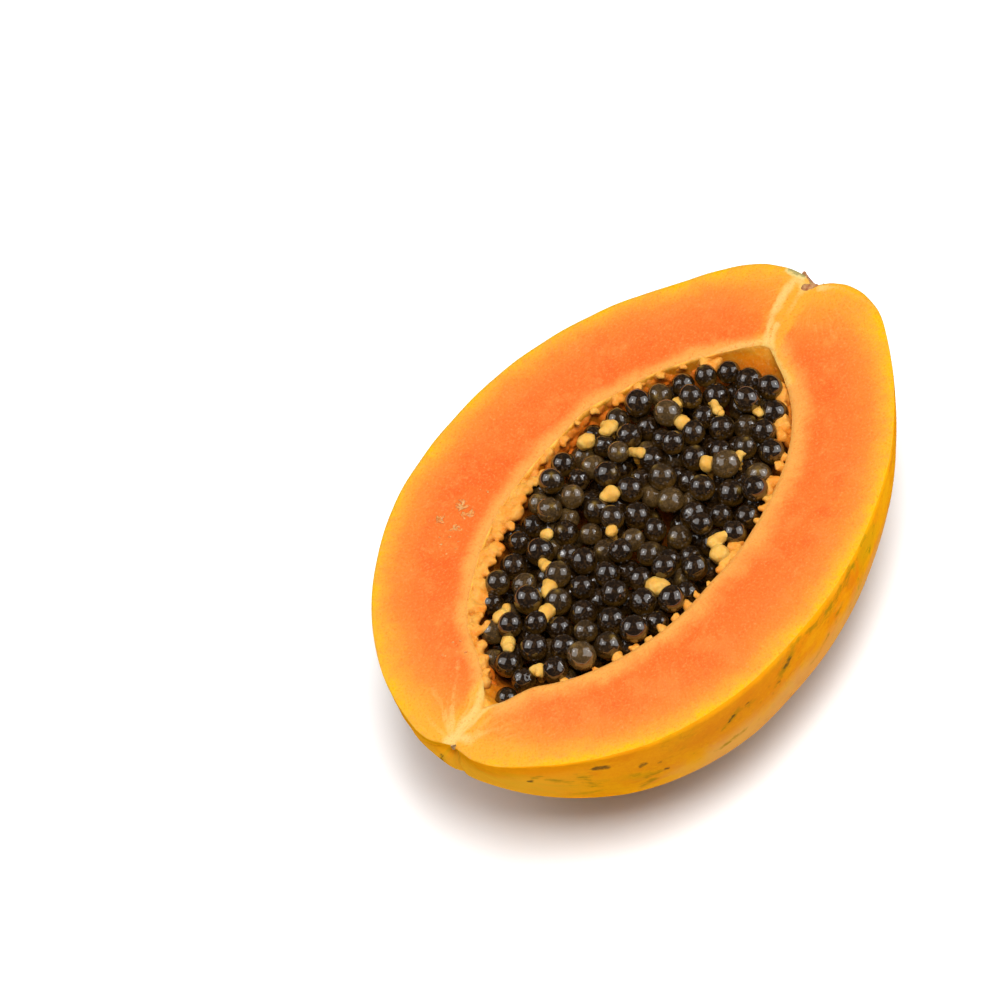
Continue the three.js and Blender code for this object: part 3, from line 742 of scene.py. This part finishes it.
def settled_seeds():
    """Upper seeds: strewn over the cavity, then pushed apart until each has room."""
    draw = make_draw(20771)
    right_wall, left_wall = widths_along(CAVITY_RIGHT), widths_along(CAVITY_LEFT)
    seeds = []
    while len(seeds) < SEED_COUNT:
        x = SEED_FIRST_X + (SEED_LAST_X - SEED_FIRST_X) * draw()
        y = -30 + 62 * draw()
        radius = SEED_RADIUS * (1 + SEED_SPREAD * (2 * draw() - 1))
        level = SEED_LEVEL + SEED_UNEVEN * (draw() - 0.5)
        if -right_wall(x)[0] + 2 < y < left_wall(x)[0] - 3:
            seeds.append([x, y, level, level, radius])
    for _ in range(SETTLE_STEPS):
        for a, p in enumerate(seeds):
            for q in seeds[a + 1:]:
                dx, dy, dz = q[0] - p[0], q[1] - p[1], q[2] - p[2]
                apart = math.sqrt(dx * dx + dy * dy + dz * dz)
                short = SEED_SPACING * (p[4] + q[4]) - apart
                if short > 0 and apart > 1e-6:
                    push = 0.45 * short / apart
                    p[0] -= dx * push
                    p[1] -= dy * push
                    p[2] -= SEED_LIFT * dz * push
                    q[0] += dx * push
                    q[1] += dy * push
                    q[2] += SEED_LIFT * dz * push
            for lump_x, lump_y, _, half, _ in LUMPS:
                dx, dy = p[0] - lump_x, p[1] - lump_y
                apart = math.sqrt(dx * dx + dy * dy)
                short = half + 0.62 * p[4] - apart
                if short > 0 and apart > 1e-6:
                    p[0] += 0.5 * dx * short / apart
                    p[1] += 0.5 * dy * short / apart
            p[2] += SEED_RETURN * (p[3] - p[2])
            p[0] = min(SEED_LAST_X, max(SEED_FIRST_X, p[0]))
            on_right, on_left = right_wall(p[0]), left_wall(p[0])
            low = -on_right[0] + (p[4] + WALL_ROOM_RIGHT) * math.sqrt(1 + on_right[1] ** 2)
            high = on_left[0] - (p[4] + WALL_ROOM_LEFT) * math.sqrt(1 + on_left[1] ** 2)
            p[1] = min(high, max(low, p[1])) if low < high else 0.5 * (low + high)
    return np.array([[*s[:3], s[4]] for s in seeds])


def deeper_seeds(above, count, level, start):
    """A layer of seeds that fills the gaps seen between the seeds above."""
    draw = make_draw(start)
    right_wall, left_wall = widths_along(CAVITY_RIGHT), widths_along(CAVITY_LEFT)
    near = above.tolist()
    layer = []
    for _ in range(30000):
        p = np.array([17 + 113 * draw(), -29 + 61 * draw(), level + 2.2 * (draw() - 0.5)])
        radius = SEED_RADIUS * (0.88 + 0.22 * draw())
        room = 0.9 * radius + 0.55 * max(0.0, -level - 3)
        if not -right_wall(p[0])[0] + room < p[1] < left_wall(p[0])[0] - room:
            continue
        taken = np.array(near)
        if (np.linalg.norm(taken[:, :3] - p, axis=1) - 0.86 * (taken[:, 3] + radius)).min() < 0:
            continue
        near.append([*p, radius])
        layer.append([*p, radius])
        if len(layer) == count:
            break
    return np.array(layer)


def ball_points(fineness):
    """Points and faces of an even ball with a radius of 1."""
    work = bmesh.new()
    bmesh.ops.create_icosphere(work, subdivisions=fineness, radius=1)
    points = np.array([v.co for v in work.verts])
    faces = np.array([[v.index for v in f.verts] for f in work.faces])
    work.free()
    return points, faces


def make_seeds(name, seeds, fineness, start):
    """Seeds in their gel: slightly uneven balls with a small tip, some of them wrinkled."""
    draw = make_draw(start)
    ball, faces = ball_points(fineness)
    points, all_faces, tint, tips, skirts = [], [], [], [], []
    for k, (x, y, z, radius) in enumerate(seeds):
        turn = Matrix.Rotation(FULL_TURN * draw(), 3, "Z") @ Matrix.Rotation(1.6 * (draw() - 0.5), 3, "X")
        turn = np.array(turn @ Matrix.Rotation(1.6 * (draw() - 0.5), 3, "Y"))
        longer = 1 + 0.08 * draw()
        wrinkled = 0.08 if draw() < 0.25 else 0.02
        folds = np.abs(cloud(ball * (1.5, 1.5, 1.0), 0.4, 31.0 + 7.3 * k, 2))
        shape = 1 + wrinkled * (0.4 - folds) + 0.03 * cloud(ball, 0.9, 3.7 * k, 1)
        tip = np.exp(-((1 - ball[:, 2]) / 0.02))
        shape = shape + 0.05 * tip
        body = (ball * shape[:, None] * (0.985, 0.985, longer)) @ turn.T
        points.append(body * radius + (x, y, z))
        all_faces.append(faces + len(ball) * k)
        tint += [draw()] * len(ball)
        tips.append(tip)
        # how far down its side each point of a seed lies; the seed paint puts the painted glow of lit gel
        # there
        skirts.append(1 - body[:, 2])
    piece = make_piece(name, np.concatenate(points), np.concatenate(all_faces))
    keep_number(piece, "tint", tint)
    keep_number(piece, "seed_tip", np.concatenate(tips))
    keep_number(piece, "skirt", np.concatenate(skirts))
    keep_place(piece, "spot", np.concatenate(points))
    return piece


def paint_seeds():
    """Dark seeds in gel, wet enough to mirror the lamps; the gel's amber glow on their lower sides is
    painted.
    """
    paint = Paint("seed_in_gel", specular_ior_level=0.03, coat_weight=1.0, coat_roughness=0.09,
                  coat_ior=2.1)
    spot, tint = paint.place("spot"), paint.number("tint")
    veins = paint.clouds(spot, 0.8, 4, 0.7, 1.6)
    # painted glow: the gel on the lower sides of each seed is painted amber, as if lit through by bounce
    # light from the flesh
    gel_painted_glow = (paint.number("skirt") + (veins - 0.5) * 0.9).ramp(0.5, 1.5)
    colour = paint.mix(veins.ramp(0.45, 0.7) * 0.6, tone(26, 14, 4), tone(98, 68, 36))
    colour = paint.mix(gel_painted_glow * (0.35 + tint * 0.6), colour, tone(168, 116, 32))
    colour = paint.mix(tint.ramp(0.62, 1.0) * (0.3 + veins.ramp(0.36, 0.7) * 0.5), colour,
                       tone(128, 98, 56))
    colour = paint.mix(paint.number("seed_tip") * tint.ramp(0.5, 0.6) * 0.7, colour, tone(160, 126, 56))
    return paint.finish(colour, 0.5, veins, relief_depth=0.12, relief_strength=0.4)


def make_blobs(name, blobs, voxel, rough, soft=2):
    """Soft lumps that run into each other, with a granular surface."""
    ball, faces = ball_points(2)
    points, all_faces = [], []
    for k, (x, y, z, radius) in enumerate(blobs):
        points.append(ball * radius + (x, y, z))
        all_faces.append(faces + len(ball) * k)
    piece = make_piece(name, np.concatenate(points), np.concatenate(all_faces))
    apply_modifier(piece, "REMESH", mode="VOXEL", voxel_size=voxel * MM)
    apply_modifier(piece, "SMOOTH", factor=0.5, iterations=soft)
    p = points_of(piece)
    normal = np.zeros(len(p) * 3)
    piece.data.vertices.foreach_get("normal", normal)
    swell = cloud(p, 1.5, 4.4, 2) * rough + cloud(p, 0.55, 9.1, 1) * 0.4 * rough
    p += normal.reshape(-1, 3) * swell[:, None]
    set_points(piece, p)
    piece.data.shade_smooth()
    keep_place(piece, "spot", p)
    keep_number(piece, "depth", -p[:, 2])
    return piece


# Clumps of torn lining along the left and the right wall: place on the drawing and size.
LEFT_CLUMPS = [
    (79, 28.2, 2), (76, 29, 2.4), (77.6, 26.4, 1.5), (72.4, 30.2, 1.7), (69, 29.6, 2), (65.4, 29.2, 2.3),
    (62, 29.6, 1.8), (61.4, 26.6, 1.9), (58, 28.2, 2.1), (54, 26.2, 2.1), (51.4, 27.4, 1.6),
    (50, 25, 1.9), (46.4, 24.6, 1.8), (43.4, 23.2, 1.9), (40.4, 20.8, 2.3), (37, 19, 1.7),
    (34, 17.2, 1.9), (31.4, 15.4, 2.1), (33.6, 13.4, 1.7), (36, 12.6, 1.3), (28, 12, 1.7),
    (25.4, 8.8, 1.7), (22.4, 5.8, 1.3), (85, 31, 1.1), (90, 30.4, 1.2), (96, 29.6, 1.1),
    (101.4, 28.2, 1.4), (107.4, 25, 1.5), (113, 22.4, 1.2), (118.6, 19.4, 1.3), (123.6, 15.4, 1.4),
    (127.6, 11.6, 1.6), (128.6, 8.6, 1.4)]
RIGHT_CLUMPS = [
    (130.4, -9.6, 1.5), (128, -11.4, 1.9), (125, -13.4, 2.1), (122.4, -15, 1.9), (120, -16.6, 2),
    (117.4, -18.6, 1.4), (112, -22.6, 1.6), (109, -23.6, 1.9), (105, -25, 2), (101.4, -24.4, 2.1),
    (99, -26.8, 2.2), (96, -27.4, 1.5), (92, -28, 1.1), (83.4, -27, 2), (81, -28.4, 2.1),
    (78, -27.6, 1.9), (75.4, -28, 1.5), (70.4, -28, 1.1), (66, -27.4, 1.5), (62.4, -27.2, 1.6),
    (58, -26.4, 1), (53.2, -25.2, 1.5), (49, -24, 1.1), (45.6, -22.4, 1.6), (41.6, -20.4, 1.5),
    (36, -17.6, 1), (29.6, -12.4, 1)]


def wall_blobs():
    """Torn lining: a skin of low lumps on both walls, with soft clumps standing out of it."""
    draw = make_draw(4411)
    blobs = []
    for points, side, count, last in ((CAVITY_LEFT, 1, 330, 0.86), (CAVITY_RIGHT, -1, 240, 0.93)):
        edge = along_edge(points, np.linspace(0, 1, 801))
        for _ in range(count):
            k = int(800 * (0.06 + (last - 0.06) * draw()))
            p, ahead = edge[k], edge[min(800, k + 1)] - edge[max(0, k - 1)]
            ahead = ahead / max(1e-9, np.hypot(*ahead))
            wide = 0.7 if side < 0 or p[0] > 86 else 1.8
            radius, down = 1.1 + 1.1 * draw(), draw() ** 1.4
            inward = wide * draw() - 0.95 * radius + 1.6 * down
            x, y = p[0] + ahead[1] * inward, side * (p[1] - ahead[0] * inward)
            below = 0.4 if side > 0 and p[0] < 86 else 1.5
            blobs.append((x, y, -below - radius - 6 * down, radius))
    for x, y, size in LEFT_CLUMPS + RIGHT_CLUMPS:
        high = -0.1 - 0.6 * draw()
        size *= 0.9 + 0.7 * draw()
        for _ in range(7):
            out, turn = 0.72 * size * draw() ** 0.7, FULL_TURN * draw()
            radius = size * (0.3 + 0.28 * draw())
            blobs.append((x + out * math.cos(turn), y + 0.8 * out * math.sin(turn),
                          high - radius - 0.4 * size * draw(), radius))
        outward = 1 if y > 0 else -1
        for k in range(4):
            blobs.append((x, y + outward * (0.6 + 0.4 * k), high - 0.8 * size - 0.8 * k, size * 0.66))
    return blobs


def lump_blobs():
    """Yellow lumps standing among the seeds: bent, knobbly fingers on a stalk."""
    draw = make_draw(733)
    blobs = []
    for x, y, long, wide, turn in LUMPS:
        bend = 1.6 * (draw() - 0.5)
        for k in range(7):
            s = k / 3 - 1
            half = wide * (0.66 + 0.4 * draw()) * math.sqrt(max(0.35, 1 - 0.6 * s * s))
            away, aside = (long - 0.7 * wide) * s, bend * s * s
            aside += 0.4 * wide * (draw() - 0.5)
            blobs.append((x + away * math.cos(turn) - aside * math.sin(turn),
                          y + away * math.sin(turn) + aside * math.cos(turn),
                          -0.2 - 0.45 * wide - 0.8 * s * (draw() + 0.4), half * 0.9))
            knob = FULL_TURN * draw()
            blobs.append((blobs[-1][0] + 0.5 * half * math.cos(knob),
                          blobs[-1][1] + 0.5 * half * math.sin(knob),
                          blobs[-1][2] + half * (0.5 * draw() - 0.1), half * (0.45 + 0.15 * draw())))
        for k in range(5):
            blobs.append((x + 0.8 * (draw() - 0.5), y + 0.8 * (draw() - 0.5), -2.5 - 1.3 * k, wide * 0.5))
    return blobs


# Torn flakes on the cut: middle of a spot, its spread, number of flakes and their length.
TORN_SPOTS = [
    (60.4, 40.2, 1.2, 4, 2.6), (58.2, 37.4, 1.4, 5, 2.4), (53.9, 42.4, 0.9, 3, 2.6),
    (53.6, 37.2, 1.4, 6, 1.5), (48.8, 36.4, 3.6, 8, 0.7), (67.2, 38.0, 3.0, 4, 0.8),
    (23.0, 16.6, 3.5, 6, 0.8)]


def make_torn_flakes():
    """Small wet slivers of flesh that the knife tore up, low on the cut face."""
    draw = make_draw(8807)
    points, faces = [], []
    rings, steps = 7, 8
    for spot_x, spot_y, spread, count, long in TORN_SPOTS:
        for _ in range(count):
            out, round_it = spread * math.sqrt(draw()), FULL_TURN * draw()
            x, y = spot_x + out * math.cos(round_it), spot_y + out * math.sin(round_it)
            turn = math.atan2(y, x - CAVITY_MIDDLE[0]) + 2.2 * (draw() - 0.5)
            length, bend = long * (0.6 + 0.8 * draw()), 1.6 * (draw() - 0.5)
            thick = 0.16 + 0.12 * length
            start = len(points)
            for k in range(rings):
                s = 2 * k / (rings - 1) - 1
                way = turn + bend * s
                size = thick * math.sqrt(max(0.02, 1 - s * s)) * (0.75 + 0.5 * draw())
                mid_x, mid_y = x + 0.5 * length * s * math.cos(way), y + 0.5 * length * s * math.sin(way)
                for j in range(steps):
                    angle = 2 * math.pi * j / steps
                    across = size * math.cos(angle)
                    points.append((mid_x - across * math.sin(way), mid_y + across * math.cos(way),
                                   -0.06 + 0.45 * size * math.sin(angle)))
            for k in range(rings - 1):
                for j in range(steps):
                    a, b = start + k * steps + j, start + k * steps + (j + 1) % steps
                    faces.append((a, b, b + steps, a + steps))
            faces.append(tuple(range(start + steps - 1, start - 1, -1)))
            faces.append(tuple(range(start + (rings - 1) * steps, start + rings * steps)))
    piece = make_piece("torn_flakes", points, faces)
    keep_place(piece, "spot", points_of(piece))
    return piece


def paint_torn_flakes():
    """Wet flesh, paler than the cut round it."""
    paint = Paint("wet_torn_flesh", coat_weight=0.25, coat_roughness=0.1, subsurface_weight=0.3,
                  subsurface_scale=2 * MM, subsurface_radius=(1.0, 0.4, 0.12))
    pale = paint.clouds(paint.place("spot"), 0.8, 3)
    return paint.finish(paint.mix(pale.ramp(0.4, 0.6), tone(254, 140, 56), tone(255, 176, 104)),
                        0.25 + pale * 0.3)


def scar_blobs():
    """Dried remains of the stem: a ring round the hollow and a knob at its middle, cut through."""
    draw = make_draw(59)
    blobs = [(159.0, 1.0, -0.75, 1.45), (159.9, 0, -0.7, 1.25), (160.7, -1.0, -0.8, 0.9),
             (161.2, -2.1, -0.7, 0.75)]
    dimple = along_edge(RIGHT_EDGE, np.linspace(0.86, 1, 200))[::-1]
    for k in range(34):
        angle = math.pi * (k + 1.5) / 36
        for radius, size in ((4.6, 0.6), (2.4, 0.55)):
            blobs.append((np.interp(radius, dimple[:, 1], dimple[:, 0]) - 0.25 + 0.2 * (draw() - 0.5),
                          -radius * math.cos(angle) + 0.3 * (draw() - 0.5),
                          -0.7 - radius * math.sin(angle), size * (0.8 + 0.4 * draw())))
    for _ in range(60):
        radius, angle = 4.4 * math.sqrt(draw()), math.pi * draw()
        blobs.append((np.interp(radius, dimple[:, 1], dimple[:, 0]) - 0.45, -radius * math.cos(angle),
                      -0.9 - radius * math.sin(angle), 0.6))
    return blobs


def tip_blobs():
    """Dried blossom end, a small dark point in the other notch."""
    return [(0.2, -0.5, -0.35, 0.45), (-0.1, 0.2, -0.4, 0.4), (-0.2, -0.2, -0.8, 0.5)]


def paint_dried(name, pale, dark):
    """Rough, matt remains of the stem or the blossom."""
    paint = Paint(name)
    spot = paint.place("spot")
    rough = paint.clouds(spot, 0.9, 4, 0.65)
    colour = paint.mix(rough.ramp(0.4, 0.62), tone(*pale), tone(*dark))
    return paint.finish(colour, 0.65 + rough * 0.25, rough, relief_depth=0.5, relief_strength=0.8)


# Camera, light and floor

CAMERA_AZIMUTH, CAMERA_HEIGHT, CAMERA_ROLL = math.radians(-41.034), math.radians(52), math.radians(-17)
CAMERA_DISTANCE = 1.2
CAMERA_TARGET = Vector((66.02, 32.71, 0)) - Vector(MIDDLE) + Vector((0, 0, CUT_HEIGHT))
LENS = 171.57


def camera_axes():
    """Right, up and back of the photograph's view."""
    a, e, roll = CAMERA_AZIMUTH, CAMERA_HEIGHT, CAMERA_ROLL
    back = Vector((math.sin(a) * math.cos(e), -math.cos(a) * math.cos(e), math.sin(e)))
    level = Vector((math.cos(a), math.sin(a), 0))
    up = back.cross(level)
    right = math.cos(roll) * level + math.sin(roll) * up
    up = -math.sin(roll) * level + math.cos(roll) * up
    return right, up, back


def place_camera():
    """The camera where the photograph was taken from."""
    right, up, back = camera_axes()
    camera = bpy.data.objects.new("photo_camera", bpy.data.cameras.new("photo_camera"))
    bpy.context.scene.collection.objects.link(camera)
    camera.data.lens, camera.data.sensor_width = LENS, 36
    turn = Matrix((right, up, back)).transposed().to_4x4()
    camera.matrix_world = Matrix.Translation(CAMERA_TARGET * MM + back * CAMERA_DISTANCE) @ turn
    camera.data.clip_start, camera.data.clip_end = 0.01, 50
    bpy.context.scene.camera = camera


def soft_box(name, direction, distance, size, power, mirrored=True):
    """A soft box facing the fruit from a direction given on the photograph's axes."""
    right, up, back = camera_axes()
    way = (right * direction[0] + up * direction[1] + back * direction[2]).normalized()
    light = bpy.data.lights.new(name, "AREA")
    light.shape, light.size, light.size_y = "RECTANGLE", size[0], size[1]
    light.energy = power
    lamp = bpy.data.objects.new(name, light)
    lamp.visible_glossy = mirrored
    bpy.context.scene.collection.objects.link(lamp)
    side = up.cross(way).normalized()
    turn = Matrix((side, way.cross(side), way)).transposed().to_4x4()
    lamp.matrix_world = Matrix.Translation(CAMERA_TARGET * MM + way * distance) @ turn


def light_scene():
    # A diffuser above and a pale ceiling light the fruit. The seeds mirror only the boxes at the sides.
    soft_box("diffuser_above", (0.0, 0.37, 0.93), distance=1.3, size=(0.45, 0.7), power=30,
             mirrored=False)
    soft_box("pale_ceiling", (-0.18, 0.59, 0.79), distance=1.6, size=(2.4, 2.4), power=20,
             mirrored=False)
    for name, side in (("left", -1), ("right", 1)):
        soft_box(name + "_soft_box", (0.80 * side, 0.39, 0.55), distance=1, size=(1.1, 0.95),
                 power=3.8)
        soft_box(name + "_bulb", (0.80 * side, 0.43, 0.55), distance=0.98, size=(0.16, 0.24),
                 power=0.5)
    world = bpy.data.worlds.new("pale_room")
    world.use_nodes = True
    world.node_tree.nodes["Background"].inputs["Color"].default_value = (1, 1, 1, 1)
    world.node_tree.nodes["Background"].inputs["Strength"].default_value = 0.04
    bpy.context.scene.world = world
    bpy.context.scene.view_settings.view_transform = "Standard"


def lay_floor():
    mesh = bpy.data.meshes.new("pale_floor")
    half = 6.0
    mesh.from_pydata([(-half, -half, 0), (half, -half, 0), (half, half, 0), (-half, half, 0)], [],
                     [(0, 1, 2, 3)])
    floor = bpy.data.objects.new("pale_floor", mesh)
    bpy.context.scene.collection.objects.link(floor)
    paint = Paint("pale_floor_finish", roughness=0.9, specular_ior_level=0.1)
    floor.data.materials.append(paint.finish((0.68, 0.68, 0.68)))


def dress(piece, slot, *materials, replaces=()):
    """Gives a piece its materials and its place in the part."""
    for material in materials:
        piece.data.materials.append(material)
    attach(piece, "root")
    if replaces:
        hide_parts(*replaces)


def build():
    place_camera()
    light_scene()
    lay_floor()
    # each lining finish turns darker orange further down: painted shade of the recess, partly the lining's
    # own colour
    dress(make_fruit(), "flesh_and_skin", paint_skin(), paint_flesh(), paint_lining(),
          replaces=("fruit_half",))
    dress(make_blobs("torn_lining", wall_blobs(), voxel=0.335, rough=0.16, soft=7), "flesh_and_skin",
          paint_lining("torn_lining_finish", pale=(255, 184, 80), warm=(252, 148, 42),
                       deep_shade=(240, 110, 14), shade_from=0.8, shade_to=5.0, top=tone(255, 184, 80),
                       top_share=0.5))
    dress(make_torn_flakes(), "flesh_and_skin", paint_torn_flakes())
    dress(make_blobs("stem_scar", scar_blobs(), voxel=0.2, rough=0.15), "flesh_and_skin",
          paint_dried("dried_stem", pale=(214, 160, 104), dark=(176, 106, 64)))
    dress(make_blobs("blossom_tip", tip_blobs(), voxel=0.15, rough=0.1), "flesh_and_skin",
          paint_dried("dried_blossom", pale=(240, 196, 130), dark=(150, 108, 60)))
    upper = settled_seeds()
    second = deeper_seeds(upper, count=90, level=-5.6, start=917)
    third = deeper_seeds(np.concatenate([upper, second]), count=110, level=-10.5, start=353)
    gel_painted_glow = paint_seeds()
    dress(make_seeds("upper_seeds", upper, fineness=4, start=6101), "seed_coat", gel_painted_glow,
          replaces=("seeds",))
    dress(make_seeds("deeper_seeds", np.concatenate([second, third]), fineness=3, start=2207),
          "seed_coat", gel_painted_glow)
    dress(make_blobs("yellow_lumps", lump_blobs(), voxel=0.28, rough=0.16, soft=6), "seed_coat",
          paint_lining("yellow_lump_finish", pale=(252, 200, 98), warm=(246, 172, 56),
                       deep_shade=(210, 126, 24), shade_from=1.8, shade_to=7.0, top=tone(254, 202, 104),
                       top_share=0.4))


build()
